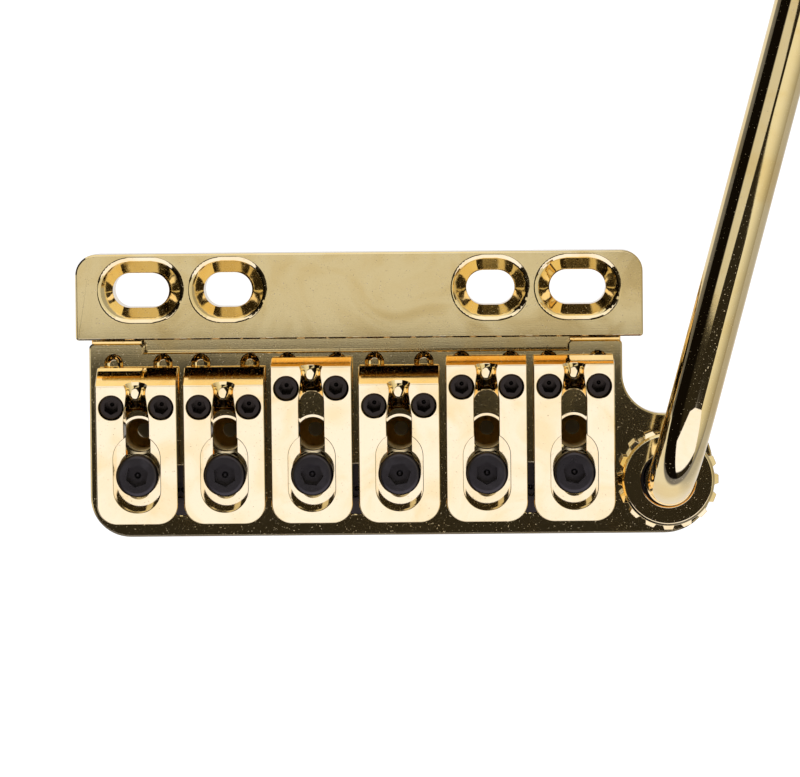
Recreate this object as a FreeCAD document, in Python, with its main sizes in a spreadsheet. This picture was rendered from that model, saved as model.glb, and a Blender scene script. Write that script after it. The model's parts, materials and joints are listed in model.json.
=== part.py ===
import FreeCAD, Part
import math
import os
import re
import Sketcher
from FreeCAD import Vector

# Guitar tremolo bridge, millimetres, +Z up from the guitar's top, +Y towards the neck.
# The origin is the middle of the mounting slots, on the face that lies on the guitar.

sizes = {
    # fixed plate, screwed to the guitar
    "fixed_width": 70.4,
    "fixed_front": 4.5,
    "fixed_rear": 6.16,
    "fixed_height": 8.0,
    "fixed_front_corner": 2.6,
    "fixed_rear_corner": 0.4,
    "fixed_bevel": 0.2,
    "slot_end": 8.075,
    "slot_step": 10.825,
    "slot_outer_length": 7.0,
    "slot_inner_length": 6.0,
    "slot_width": 4.3,
    "slot_sink": 1.65,
    "slot_lip": 0.85,
    "ledge_width": 66.0,
    "ledge_reach": 2.2,
    "ledge_height": 2.2,
    # knife pivot between the two plates
    "knife_depth": 0.76,
    "knife_drop": 1.4,
    "knife_nose": 0.4,
    "knife_root": 0.62,
    "knife_inset": 0.3,
    "seat_gap": 0.05,
    "seat_flare": 38.0,
    "seat_side_gap": 0.2,
    # floating plate
    "string_shift": -0.5,
    "plate_width": 66.2,
    "plate_front": 7.76,
    "plate_rear": 30.65,
    "plate_under": 3.2,
    "plate_thickness": 4.0,
    "plate_corner": 5.0,
    "plate_bevel": 0.2,
    "ear_front": 6.6,
    "ear_width": 6.75,
    "ear_corner": 0.6,
    "lobe_reach": 5.6,
    "lobe_half": 7.97,
    "lobe_corner": 6.0,
    "lobe_neck": 5.0,
    "groove_start": 7.87,
    "groove_end": 17.6,
    "groove_width": 2.4,
    "groove_depth": 0.95,
    "groove_round": 0.85,
    "string_hole_place": 18.0,
    "string_hole_radius": 2.07,
    # saddles
    "saddle_margin": 1.1,
    "saddle_gap": 0.8,
    "saddle_rear": 28.17,
    "saddle_height": 5.6,
    "saddle_tilt": 6.5,
    "saddle_seat": 0.05,
    "saddle_corner": 2.5,
    "saddle_bevel": 0.15,
    "short_top": 17.32,
    "short_foot": 18.77,
    "long_top": 19.57,
    "long_foot": 19.87,
    "well_start": 0.77,
    "well_end": 10.47,
    "well_width": 5.8,
    "ledge_rise": 2.7,
    "throat_start": 2.27,
    "throat_setback": 3.8,
    "throat_width": 3.1,
    "ramp_width": 2.4,
    "ramp_lip": 0.9,
    "ramp_fall": 1.9,
    # saddle screws
    "lock_place": 22.8,
    "lock_shank": 1.45,
    "lock_head": 2.63,
    "lock_head_height": 3.0,
    "lock_rim": 0.45,
    "lock_rim_height": 0.5,
    "lock_hex": 2.5,
    "lock_hex_depth": 1.6,
    "lock_end_gap": 0.3,
    "thread_gap": 0.05,
    "grub_wall": 1.94,
    "grub_setback": 2.75,
    "grub_radius": 1.5,
    "grub_sink": 0.25,
    "grub_tip": 0.5,
    "grub_cone": 1.7,
    "grub_rim": 0.2,
    "grub_reach": 0.78,
    "grub_hex": 1.5,
    "grub_hex_depth": 1.5,
    # sustain block and its screws
    "block_inset": 2.1,
    "block_front": 14.4,
    "block_rear": 28.4,
    "block_depth": 36.0,
    "block_bevel": 0.8,
    "string_bore": 0.9,
    "ball_bore": 2.6,
    "ball_bore_length": 26.0,
    "spring_bore": 1.2,
    "spring_bore_depth": 9.0,
    "spring_pitch": 11.0,
    "spring_place": 24.6,
    "block_screw_place": 24.9,
    "block_screw_radius": 1.75,
    "block_screw_clear": 2.3,
    "block_screw_drop": 0.1,
    "block_screw_length": 13.0,
    "block_screw_hex": 2.0,
    "block_screw_hex_depth": 1.2,
    "block_screw_end_gap": 1.0,
    # arm, its socket and its nut
    "arm_out": 5.47,
    "arm_y": 23.8,
    "arm_radius": 2.95,
    "arm_heading": -15.09,
    "arm_length": 136.5,
    "arm_rise": 2.0,
    "arm_bend": 10.5,
    "arm_height": 20.0,
    "arm_leg": 6.0,
    "arm_tip_round": 2.5,
    "arm_leg_bevel": 0.6,
    "bush_gap": 0.05,
    "bush_wall": 0.9,
    "press_gap": 0.02,
    "socket_wall": 0.55,
    "socket_rise": 3.4,
    "socket_drop": 8.0,
    "socket_collar": 1.05,
    "socket_collar_height": 1.6,
    "nut_lift": 0.3,
    "nut_height": 5.0,
    "nut_radius": 5.73,
    "nut_bore": 3.45,
    "nut_lip": 1.1,
    "nut_rim": 0.3,
    "tooth_reach": 0.5,
    "tooth_base": 0.8,
    "tooth_top": 0.52,
    "tooth_height": 3.9,
    "overrun": 1.0,
}
saddle_count = 6
long_saddles = (3, 5, 6)
block_screw_gaps = (1, 3, 5)
spring_bores = 5
tooth_count = 16
near = 0.001

derived = {
    "slot_outer_place": "(fixed_width / 2 - slot_end)",
    "slot_inner_place": "(slot_outer_place - slot_step)",
    "string_pitch": "((plate_width - 2 * saddle_margin + saddle_gap) / %d)" % saddle_count,
    "saddle_width": "(string_pitch - saddle_gap)",
    "grub_spread": "(saddle_width / 2 - grub_wall)",
    "block_screw_head": "(string_pitch / 2 - block_screw_clear)",
    "block_width": "(plate_width - 2 * block_inset)",
    "arm_x": "(string_shift + plate_width / 2 + arm_out)",
}

doc = FreeCAD.newDocument("tremolo_bridge")
sheet = doc.addObject("Spreadsheet::Sheet", "sizes")
for row, (name, value) in enumerate(sizes.items(), start=1):
    sheet.set("A%d" % row, name)
    sheet.set("B%d" % row, str(value))
    sheet.setAlias("B%d" % row, name)
doc.recompute()


# Formulas

def formula(text):
    def cell(word):
        name = word.group()
        if name in derived:
            return formula(derived[name])
        return "sizes." + name if name in sizes else name
    return re.sub("[a-z_]+", cell, text)


def number(text):
    return float(sheet.evalExpression(formula(text)))


def bind(thing, values):
    for name, text in values.items():
        thing.setExpression(name, formula(text))


# Places that several pieces share

plate_top = "(plate_under + plate_thickness)"
plate_left = "(string_shift - plate_width / 2)"
plate_right = "(string_shift + plate_width / 2)"
pivot_y = "(knife_depth - fixed_rear)"
pivot_z = "(plate_under + plate_thickness - knife_drop)"
bush_inner = "(arm_radius + bush_gap)"
bush_outer = "(arm_radius + bush_gap + bush_wall)"
socket_inner = "(arm_radius + bush_gap + bush_wall + press_gap)"
socket_outer = "(arm_radius + bush_gap + bush_wall + press_gap + socket_wall)"


def string_place(index):
    return "(string_shift + string_pitch * (%d - %d / 2))" % (index, saddle_count + 1)


def gap_place(index):
    return "(string_shift + string_pitch * (%d - %d / 2))" % (index, saddle_count)


# Sketches and features

def new_body(label):
    body = doc.addObject("PartDesign::Body", label)
    body.Label = label
    return body


def set_place(body, x, y, z):
    bind(body, {"Placement.Base.x": x, "Placement.Base.y": y, "Placement.Base.z": z})


def set_turn(thing, path, axis, angle):
    for letter, share in zip("xyz", axis):
        thing.setExpression(path + ".Rotation.Axis." + letter, str(share))
    thing.setExpression(path + ".Rotation.Angle", formula(angle))


def sketch_on(body, name, role, lift="0"):
    sketch = body.newObject("Sketcher::SketchObject", name)
    planes = [item for item in body.Origin.OriginFeatures if item.Role == role]
    sketch.AttachmentSupport = [(planes[0], "")]
    sketch.MapMode = "FlatFace"
    bind(sketch, {"AttachmentOffset.Base.z": lift})
    return sketch


def hold(sketch, constraint, text):
    index = sketch.addConstraint(constraint)
    sketch.setExpression("Constraints[%d]" % index, formula(text))


def hold_point(sketch, geometry, point, x, y):
    for kind, text in (("DistanceX", x), ("DistanceY", y)):
        hold(sketch, Sketcher.Constraint(kind, -1, 1, geometry, point, number(text)), text)


def polygon(sketch, corners):
    spots = [Vector(number(x), number(y), 0) for x, y in corners]
    first = len(sketch.Geometry)
    following = [*range(1, len(corners)), 0]
    for here, after in enumerate(following):
        sketch.addGeometry(Part.LineSegment(spots[here], spots[after]))
    for here, after in enumerate(following):
        sketch.addConstraint(Sketcher.Constraint("Coincident", first + here, 2, first + after, 1))
    for here, (x, y) in enumerate(corners):
        hold_point(sketch, first + here, 1, x, y)


def rectangle(sketch, left, right, low, high):
    polygon(sketch, [(left, low), (right, low), (right, high), (left, high)])


def circle(sketch, x, y, radius):
    ring = Part.Circle(Vector(number(x), number(y), 0), Vector(0, 0, 1), number(radius))
    index = sketch.addGeometry(ring)
    hold_point(sketch, index, 3, x, y)
    hold(sketch, Sketcher.Constraint("Radius", index, number(radius)), radius)


def slot(sketch, low, high, radius):
    start = Vector(number(low[0]), number(low[1]), 0)
    end = Vector(number(high[0]), number(high[1]), 0)
    along = (end - start).normalize()
    reach = number(radius)
    side = Vector(-along.y, along.x, 0) * reach
    bow = along * reach
    near_arc = sketch.addGeometry(Part.Arc(start + side, start - bow, start - side))
    under = sketch.addGeometry(Part.LineSegment(start - side, end - side))
    far_arc = sketch.addGeometry(Part.Arc(end - side, end + bow, end + side))
    over = sketch.addGeometry(Part.LineSegment(end + side, start + side))
    ring = [near_arc, under, far_arc, over]
    for here, after in zip(ring, ring[1:] + ring[:1]):
        sketch.addConstraint(Sketcher.Constraint("Tangent", here, 2, after, 1))
    hold_point(sketch, near_arc, 3, *low)
    hold_point(sketch, far_arc, 3, *high)
    hold(sketch, Sketcher.Constraint("Radius", near_arc, reach), radius)


def hexagon(sketch, flats):
    point = "%s / sqrt(3)" % flats
    half_point = "%s / sqrt(12)" % flats
    half = "%s / 2" % flats
    polygon(sketch, [
        (point, "0"),
        (half_point, half),
        ("-" + half_point, half),
        ("-" + point, "0"),
        ("-" + half_point, "-" + half),
        (half_point, "-" + half),
    ])


def feature(body, kind, name, sketch, length=None, back=False, both=False):
    item = body.newObject("PartDesign::" + kind, name)
    item.Profile = sketch
    if length:
        bind(item, {"Length": length})
    else:
        item.Type = "ThroughAll"
    item.Reversed = back
    if both:
        item.SideType = "Symmetric"
    doc.recompute()
    return item


def pad(body, name, sketch, length, back=False, both=False):
    return feature(body, "Pad", name, sketch, length, back, both)


def pocket(body, name, sketch, length=None, back=False, both=False):
    before = body.Shape.Volume
    item = feature(body, "Pocket", name, sketch, length, back, both)
    if item.Shape.Volume > before - near * near:
        raise RuntimeError(name + " cuts nothing")
    return item


def revolve(body, name, sketch):
    item = body.newObject("PartDesign::Revolution", name)
    item.Profile = sketch
    item.ReferenceAxis = (sketch, ["V_Axis"])
    doc.recompute()
    return item


def dress(body, kind, name, size, test):
    base = body.Tip
    picked = ["Edge%d" % (i + 1) for i, edge in enumerate(base.Shape.Edges) if test(edge)]
    item = body.newObject("PartDesign::" + kind, name)
    item.Base = (base, picked)
    bind(item, {"Radius" if kind == "Fillet" else "Size": size})
    doc.recompute()
    return item


# Ways to pick edges

def same(one, other):
    return abs(one - other) < near


def on_level(edge, z):
    return same(edge.BoundBox.ZMin, z) and same(edge.BoundBox.ZMax, z)


def upright_at(edge, x, y):
    box = edge.BoundBox
    return same(box.XMin, x) and same(box.XMax, x) and same(box.YMin, y) and same(box.YMax, y)


def corners_at(*places):
    spots = [(number(x), number(y)) for x, y in places]
    return lambda edge: any(upright_at(edge, x, y) for x, y in spots)


def level_at(z):
    height = number(z)
    return lambda edge: on_level(edge, height)


# Fixed plate: a bar with four countersunk slots and a seat for each knife edge

def knife_spans():
    ears = [(plate_left, "ear_width"), ("(%s - ear_width)" % plate_right, "ear_width")]
    return [(name, start, width) for name, (start, width) in zip(("left", "right"), ears)]


def make_fixed_plate():
    body = new_body("fixed_plate")
    outline = sketch_on(body, "fixed_outline", "XY_Plane")
    rectangle(outline, "-fixed_width / 2", "fixed_width / 2", "-fixed_rear", "fixed_front")
    pad(body, "fixed_bar", outline, "fixed_height")
    ends = ("-fixed_width / 2", "fixed_width / 2")
    dress(body, "Fillet", "fixed_front_corners", "fixed_front_corner",
          corners_at(*[(x, "fixed_front") for x in ends]))
    dress(body, "Fillet", "fixed_rear_corners", "fixed_rear_corner",
          corners_at(*[(x, "-fixed_rear") for x in ends]))
    dress(body, "Chamfer", "fixed_top_bevel", "fixed_bevel", level_at("fixed_height"))

    ledge = sketch_on(body, "ledge_outline", "XY_Plane")
    rectangle(ledge, "string_shift - ledge_width / 2", "string_shift + ledge_width / 2",
              "-fixed_rear - ledge_reach", "-fixed_rear")
    pad(body, "ledge", ledge, "ledge_height")

    slots = sketch_on(body, "slot_outlines", "XY_Plane")
    for side in ("", "-"):
        for kind in ("outer", "inner"):
            middle = "%sslot_%s_place" % (side, kind)
            half = "(slot_%s_length - slot_width) / 2" % kind
            slot(slots, (middle + " - " + half, "0"), (middle + " + " + half, "0"), "slot_width / 2")
    pocket(body, "slots", slots, back=True)

    half_slot = number("slot_width / 2")
    top = number("fixed_height")
    reach = number("slot_outer_length")

    def slot_rim(edge):
        middle = edge.BoundBox.Center
        places = (number("slot_outer_place"), number("slot_inner_place"))
        beside = any(abs(abs(middle.x) - place) < reach / 2 for place in places)
        return on_level(edge, top) and beside and edge.BoundBox.YMax < half_slot + near

    dress(body, "Chamfer", "slot_sinks", "slot_sink", slot_rim)
    wide = number("slot_width / 2 + slot_sink")

    def sink_rim(edge):
        box = edge.BoundBox
        inside = box.YMax < wide + near and box.YMin > -wide - near
        return on_level(edge, top) and inside

    dress(body, "Fillet", "slot_lips", "slot_lip", sink_rim)

    for name, start, width in knife_spans():
        lift = "%s - seat_side_gap" % start
        length = "%s + 2 * seat_side_gap" % width
        seat = sketch_on(body, "seat_round_" + name, "YZ_Plane", lift)
        circle(seat, pivot_y, pivot_z, "knife_nose + seat_gap")
        pocket(body, "seat_bore_" + name, seat, length, back=True)
        mouth = sketch_on(body, "seat_mouth_" + name, "YZ_Plane", lift)
        seat_radius = "(knife_nose + seat_gap)"
        throat_y = "%s + %s * sin(seat_flare)" % (pivot_y, seat_radius)
        throat_half = "%s * cos(seat_flare)" % seat_radius
        mouth_half = "(%s / cos(seat_flare) + knife_depth * tan(seat_flare))" % seat_radius
        polygon(mouth, [
            (throat_y, pivot_z + " + " + throat_half),
            ("-fixed_rear", pivot_z + " + " + mouth_half),
            ("-fixed_rear", pivot_z + " - " + mouth_half),
            (throat_y, pivot_z + " - " + throat_half),
        ])
        pocket(body, "seat_flare_" + name, mouth, length, back=True)


# Floating plate: two knife-edged ears, saddle grooves and a lobe for the arm

def make_base_plate():
    body = new_body("base_plate")
    left = plate_left
    right = plate_right
    ear_left = "(%s + ear_width)" % left
    ear_right = "(%s - ear_width)" % right
    lobe_right = "(arm_x + lobe_reach)"
    lobe_front = "(lobe_half - arm_y)"
    outline = sketch_on(body, "plate_outline", "XY_Plane", "plate_under")
    polygon(outline, [
        (left, "-plate_rear"),
        (lobe_right, "-plate_rear"),
        (lobe_right, lobe_front),
        (right, lobe_front),
        (right, "-ear_front"),
        (ear_right, "-ear_front"),
        (ear_right, "-plate_front"),
        (ear_left, "-plate_front"),
        (ear_left, "-ear_front"),
        (left, "-ear_front"),
    ])
    pad(body, "plate", outline, "plate_thickness")
    dress(body, "Fillet", "rear_corner", "plate_corner", corners_at((left, "-plate_rear")))
    dress(body, "Fillet", "lobe_corners", "lobe_corner",
          corners_at((lobe_right, "-plate_rear"), (lobe_right, lobe_front)))
    dress(body, "Fillet", "lobe_neck_round", "lobe_neck", corners_at((right, lobe_front)))
    ear_ends = [(x, "-ear_front") for x in (left, ear_left, ear_right, right)]
    dress(body, "Fillet", "ear_corners", "ear_corner", corners_at(*ear_ends))
    dress(body, "Chamfer", "plate_top_bevel", "plate_bevel", level_at(plate_top))

    for name, start, width in knife_spans():
        lift = "%s + knife_inset" % start
        length = "%s - 2 * knife_inset" % width
        blade = sketch_on(body, "blade_" + name, "YZ_Plane", lift)
        root = "(-ear_front - ear_corner)"
        polygon(blade, [
            (root, pivot_z + " - knife_root"),
            ("-ear_front", pivot_z + " - knife_root"),
            (pivot_y, pivot_z + " - knife_nose"),
            (pivot_y, pivot_z + " + knife_nose"),
            ("-ear_front", pivot_z + " + knife_root"),
            (root, pivot_z + " + knife_root"),
        ])
        pad(body, "knife_blade_" + name, blade, length)
        nose = sketch_on(body, "nose_" + name, "YZ_Plane", lift)
        circle(nose, pivot_y, pivot_z, "knife_nose")
        pad(body, "knife_nose_" + name, nose, length)

    grooves = sketch_on(body, "groove_outlines", "XY_Plane", plate_top)
    radius = "groove_width / 2"
    for index in range(1, saddle_count + 1):
        for side in ("-", "+"):
            x = "%s %s grub_spread" % (string_place(index), side)
            rear = (x, "-groove_end + groove_width / 2")
            front = (x, "-groove_start - groove_width / 2")
            slot(grooves, rear, front, radius)
    pocket(body, "grooves", grooves, "groove_depth")
    dress(body, "Fillet", "groove_bottoms", "groove_round", level_at(plate_top + " - groove_depth"))

    holes = sketch_on(body, "plate_holes", "XY_Plane", plate_top)
    for index in range(1, saddle_count + 1):
        circle(holes, string_place(index), "-string_hole_place", "string_hole_radius")
        circle(holes, string_place(index), "-lock_place", "lock_shank + thread_gap")
    circle(holes, "arm_x", "-arm_y", socket_outer + " + press_gap")
    for index in block_screw_gaps:
        circle(holes, gap_place(index), "-block_screw_place", "block_screw_radius + thread_gap")
    pocket(body, "plate_bores", holes)
    sinks = [(number(gap_place(index)), -number("block_screw_place")) for index in block_screw_gaps]
    top = number(plate_top)

    def screw_rim(edge):
        middle = edge.BoundBox.Center
        return on_level(edge, top) and any(same(middle.x, x) and same(middle.y, y) for x, y in sinks)

    sink_size = "block_screw_head - block_screw_radius + block_screw_drop"
    dress(body, "Chamfer", "block_screw_sinks", sink_size, screw_rim)


# Saddles: two lengths, each with a screw well, a throat for the string and a ramp

def make_saddle(index):
    body = new_body("saddle_%d" % index)
    kind = "long" if index in long_saddles else "short"
    top_end = kind + "_top"
    foot_end = kind + "_foot"
    side = sketch_on(body, "saddle_side_%d" % index, "YZ_Plane")
    polygon(side, [
        ("0", "0"),
        (foot_end, "0"),
        (top_end, "saddle_height"),
        ("0", "saddle_height"),
    ])
    pad(body, "saddle_bar_%d" % index, side, "saddle_width", both=True)
    half = number("saddle_width / 2")

    def rear_corner(edge):
        return upright_at(edge, half, 0) or upright_at(edge, -half, 0)

    dress(body, "Fillet", "saddle_corners_%d" % index, "saddle_corner", rear_corner)
    dress(body, "Chamfer", "saddle_top_bevel_%d" % index, "saddle_bevel", level_at("saddle_height"))

    ramp = sketch_on(body, "ramp_side_%d" % index, "YZ_Plane")
    ramp_start = "(%s - throat_setback - throat_width / 2)" % top_end
    polygon(ramp, [
        (ramp_start, "saddle_height - ramp_lip - ramp_fall"),
        (foot_end + " + overrun", "saddle_height - ramp_lip"),
        (foot_end + " + overrun", "saddle_height + overrun"),
        (ramp_start, "saddle_height + overrun"),
    ])
    pocket(body, "ramp_%d" % index, ramp, "ramp_width", both=True)
    throat_low = "throat_start + throat_width / 2"
    throat_high = "%s * cos(saddle_tilt) - throat_setback - throat_width / 2" % top_end
    well = sketch_on(body, "well_outline_%d" % index, "XY_Plane")
    level_sketch(well, "ledge_rise")
    slot(well, ("0", "well_start + well_width / 2"), ("0", "well_end - well_width / 2"), "well_width / 2")
    pocket(body, "well_%d" % index, well, back=True)
    throat = sketch_on(body, "throat_outline_%d" % index, "XY_Plane")
    level_sketch(throat, "0")
    slot(throat, ("0", throat_low), ("0", throat_high), "throat_width / 2")
    pocket(body, "throat_%d" % index, throat, both=True)

    holes = sketch_on(body, "grub_holes_%d" % index, "XY_Plane")
    for place in ("grub_spread", "-grub_spread"):
        circle(holes, place, "%s - grub_setback" % top_end, "grub_radius + thread_gap")
    pocket(body, "grub_bores_%d" % index, holes, back=True)
    tilt_place(body, string_place(index))


def level_sketch(sketch, rise):
    set_turn(sketch, "AttachmentOffset", (-1, 0, 0), "saddle_tilt")
    bind(sketch, {
        "AttachmentOffset.Base.y": "%s * sin(saddle_tilt)" % rise,
        "AttachmentOffset.Base.z": "%s * cos(saddle_tilt)" % rise,
    })


def tilt_place(body, x):
    set_place(body, x, "-saddle_rear", plate_top + " + saddle_seat")
    set_turn(body, "Placement", (1, 0, 0), "saddle_tilt")


# Screws: a turned profile with a hexagon socket

def make_screw(label, profile, hex_flats, hex_depth, top):
    body = new_body(label)
    outline = sketch_on(body, label + "_profile", "XZ_Plane")
    polygon(outline, profile)
    revolve(body, label + "_turned", outline)
    socket = sketch_on(body, label + "_hexagon", "XY_Plane", top)
    hexagon(socket, hex_flats)
    pocket(body, label + "_socket", socket, hex_depth)
    return body


def make_lock_screw(index):
    under_head = "(plate_under + plate_thickness + saddle_seat + ledge_rise + saddle_seat)"
    body = make_screw("saddle_lock_screw_%d" % index, [
        ("0", "plate_under + lock_end_gap - " + under_head),
        ("lock_shank", "plate_under + lock_end_gap - " + under_head),
        ("lock_shank", "0"),
        ("lock_head", "0"),
        ("lock_head", "lock_head_height - lock_rim_height"),
        ("lock_head - lock_rim", "lock_head_height"),
        ("0", "lock_head_height"),
    ], "lock_hex", "lock_hex_depth", "lock_head_height")
    set_place(body, string_place(index), "-lock_place", under_head)


def make_grub_screw(index, hand, side):
    kind = "long" if index in long_saddles else "short"
    along = "(%s_top - grub_setback)" % kind
    end = "(-%s * tan(saddle_tilt) - grub_reach)" % along
    top = "(saddle_height - grub_sink)"
    label = "height_screw_%d_%s" % (index, hand)
    body = make_screw(label, [
        ("0", end),
        ("grub_tip", end),
        ("grub_radius", end + " + grub_cone"),
        ("grub_radius", top + " - grub_rim"),
        ("grub_radius - grub_rim", top),
        ("0", top),
    ], "grub_hex", "grub_hex_depth", top)
    set_turn(body, "Placement", (1, 0, 0), "saddle_tilt")
    set_place(body, "%s %s grub_spread" % (string_place(index), side),
              "-saddle_rear + %s * cos(saddle_tilt)" % along,
              "%s + saddle_seat + %s * sin(saddle_tilt)" % (plate_top, along))


# Sustain block under the floating plate

def make_block():
    body = new_body("tremolo_block")
    outline = sketch_on(body, "block_outline", "XY_Plane", "plate_under")
    rectangle(outline, "string_shift - block_width / 2", "string_shift + block_width / 2",
              "-block_rear", "-block_front")
    pad(body, "block", outline, "block_depth", back=True)
    top = number("plate_under")
    dress(body, "Chamfer", "block_bevels", "block_bevel", lambda edge: not on_level(edge, top))
    bores = sketch_on(body, "string_bores", "XY_Plane", "plate_under")
    for index in range(1, saddle_count + 1):
        circle(bores, string_place(index), "-string_hole_place", "string_bore")
    pocket(body, "string_ways", bores)
    floor = "plate_under - block_depth"
    balls = sketch_on(body, "ball_bores", "XY_Plane", floor)
    for index in range(1, saddle_count + 1):
        circle(balls, string_place(index), "-string_hole_place", "ball_bore")
    pocket(body, "ball_ways", balls, "ball_bore_length", back=True)
    hooks = sketch_on(body, "spring_bores", "XY_Plane", floor)
    for index in range(spring_bores):
        step = "(%d - %d / 2)" % (index, spring_bores - 1)
        circle(hooks, "string_shift + spring_pitch * " + step, "-spring_place", "spring_bore")
    pocket(body, "spring_ways", hooks, "spring_bore_depth", back=True)
    taps = sketch_on(body, "screw_bores", "XY_Plane", "plate_under")
    for index in block_screw_gaps:
        circle(taps, gap_place(index), "-block_screw_place", "block_screw_radius + thread_gap")
    tap_depth = "block_screw_drop + block_screw_length + block_screw_end_gap - plate_thickness"
    pocket(body, "screw_ways", taps, tap_depth)


def make_block_screws():
    screws = []
    head_height = "(block_screw_head - block_screw_radius)"
    for index in block_screw_gaps:
        label = "block_screw_%d" % index
        body = make_screw(label, [
            ("0", "-block_screw_length"),
            ("block_screw_radius", "-block_screw_length"),
            ("block_screw_radius", "-" + head_height),
            ("block_screw_head", "0"),
            ("0", "0"),
        ], "block_screw_hex", "block_screw_hex_depth", "0")
        set_place(body, gap_place(index), "-block_screw_place", plate_top + " - block_screw_drop")
        screws.append(body)
    group = doc.addObject("Part::Compound", "block_screws")
    group.Links = screws
    group.Label = "block_screws"


# Arm, socket, bush and knurled nut on one upright axis

def make_socket():
    body = new_body("arm_socket")
    profile = sketch_on(body, "socket_profile", "XZ_Plane")
    low = "(plate_under - socket_drop)"
    polygon(profile, [
        (socket_inner, low),
        (socket_outer, low),
        (socket_outer, "plate_under - socket_collar_height"),
        (socket_outer + " + socket_collar", "plate_under - socket_collar_height"),
        (socket_outer + " + socket_collar", "plate_under"),
        (socket_outer, "plate_under"),
        (socket_outer, plate_top + " + socket_rise"),
        (socket_inner, plate_top + " + socket_rise"),
    ])
    revolve(body, "socket_turned", profile)
    set_place(body, "arm_x", "-arm_y", "0")


def make_bush():
    body = new_body("arm_bush")
    profile = sketch_on(body, "bush_profile", "XZ_Plane")
    rectangle(profile, bush_inner, bush_outer, "plate_under - socket_drop", plate_top + " + socket_rise")
    revolve(body, "bush_turned", profile)
    set_place(body, "arm_x", "-arm_y", "0")


def make_nut():
    body = new_body("arm_nut")
    profile = sketch_on(body, "nut_profile", "XZ_Plane")
    thread = socket_outer + " + thread_gap"
    polygon(profile, [
        (thread, "0"),
        ("nut_radius", "0"),
        ("nut_radius", "nut_height - nut_rim"),
        ("nut_radius - nut_rim", "nut_height"),
        ("nut_bore", "nut_height"),
        ("nut_bore", "nut_height - nut_lip"),
        (thread, "nut_height - nut_lip"),
    ])
    revolve(body, "nut_turned", profile)
    tooth = sketch_on(body, "tooth_outline", "XY_Plane")
    polygon(tooth, [
        ("nut_radius - nut_rim", "-tooth_base"),
        ("nut_radius + tooth_reach", "-tooth_top"),
        ("nut_radius + tooth_reach", "tooth_top"),
        ("nut_radius - nut_rim", "tooth_base"),
    ])
    first_tooth = pad(body, "tooth", tooth, "tooth_height")
    teeth = body.newObject("PartDesign::PolarPattern", "teeth")
    teeth.Originals = [first_tooth]
    teeth.Axis = (tooth, ["N_Axis"])
    teeth.Occurrences = tooth_count
    body.Tip = teeth
    doc.recompute()
    set_place(body, "arm_x", "-arm_y", plate_top + " + nut_lift")


def make_arm():
    body = new_body("tremolo_arm")
    path = sketch_on(body, "arm_path", "YZ_Plane")
    foot = ("0", "plate_under - arm_leg")
    bend_z = "(%s + arm_height - arm_bend)" % plate_top
    reach_y = "arm_bend * (1 - sin(arm_rise)) + arm_length * cos(arm_rise)"
    reach_z = "%s + arm_bend * cos(arm_rise) + arm_length * sin(arm_rise)" % bend_z
    leg_foot = Vector(0, number(foot[1]), 0)
    leg_end = Vector(0, number(bend_z), 0)
    bend_middle = Vector(number("arm_bend"), number(bend_z), 0)
    bend_ring = Part.Circle(bend_middle, Vector(0, 0, 1), number("arm_bend"))
    bar_end = Vector(number(reach_y), number(reach_z), 0)
    leg = path.addGeometry(Part.LineSegment(leg_foot, leg_end))
    quarter = math.radians(90 + number("arm_rise"))
    bend = path.addGeometry(Part.ArcOfCircle(bend_ring, quarter, math.pi))
    bar = path.addGeometry(Part.LineSegment(bend_ring.value(quarter), bar_end))
    path.addConstraint(Sketcher.Constraint("Coincident", leg, 2, bend, 2))
    path.addConstraint(Sketcher.Constraint("Tangent", bend, 1, bar, 1))
    hold_point(path, leg, 1, *foot)
    hold_point(path, leg, 2, "0", bend_z)
    hold_point(path, bend, 3, "arm_bend", bend_z)
    hold_point(path, bar, 2, reach_y, reach_z)
    section = sketch_on(body, "arm_section", "XY_Plane", foot[1])
    circle(section, "0", "0", "arm_radius")
    pipe = body.newObject("PartDesign::AdditivePipe", "arm_bar")
    pipe.Profile = section
    pipe.Spine = path
    doc.recompute()
    low = number(foot[1])
    far = number(reach_y)
    thick = number("arm_radius")
    dress(body, "Chamfer", "leg_bevel", "arm_leg_bevel", lambda edge: on_level(edge, low))

    def tip_edge(edge):
        return edge.BoundBox.YMin > far - thick and edge.BoundBox.ZLength > thick

    dress(body, "Fillet", "arm_tip", "arm_tip_round", tip_edge)
    set_place(body, "arm_x", "-arm_y", "0")
    set_turn(body, "Placement", (0, 0, 1), "arm_heading")


# The whole bridge

make_fixed_plate()
make_base_plate()
make_block()
make_block_screws()
for saddle in range(1, saddle_count + 1):
    make_saddle(saddle)
    make_lock_screw(saddle)
    make_grub_screw(saddle, "left", "-")
    make_grub_screw(saddle, "right", "+")
make_socket()
make_bush()
make_nut()
make_arm()
doc.recompute()

for item in doc.Objects:
    if "Invalid" in item.State or "Error" in item.State:
        raise RuntimeError(item.Label + " failed")

grouped = doc.getObject("block_screws").Links
pieces = [item for item in doc.Objects if item.TypeId == "PartDesign::Body" and item not in grouped]
pieces.append(doc.getObject("block_screws"))
for piece in pieces:
    if piece.Shape.isNull() or not piece.Shape.isValid():
        raise RuntimeError(piece.Label + " has no valid shape")
os.makedirs("parts", exist_ok=True)
for piece in pieces:
    piece.Shape.exportStep("parts/%s.step" % piece.Label)
    box = piece.Shape.BoundBox
    print("%-24s solids %d volume %9.2f  box %.2f %.2f %.2f to %.2f %.2f %.2f" % (
        piece.Label, len(piece.Shape.Solids), piece.Shape.Volume,
        box.XMin, box.YMin, box.ZMin, box.XMax, box.YMax, box.ZMax))
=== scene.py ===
import bmesh
import bpy
import json
import math
from mathutils import Matrix, Vector
from mathutils.bvhtree import BVHTree


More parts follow.
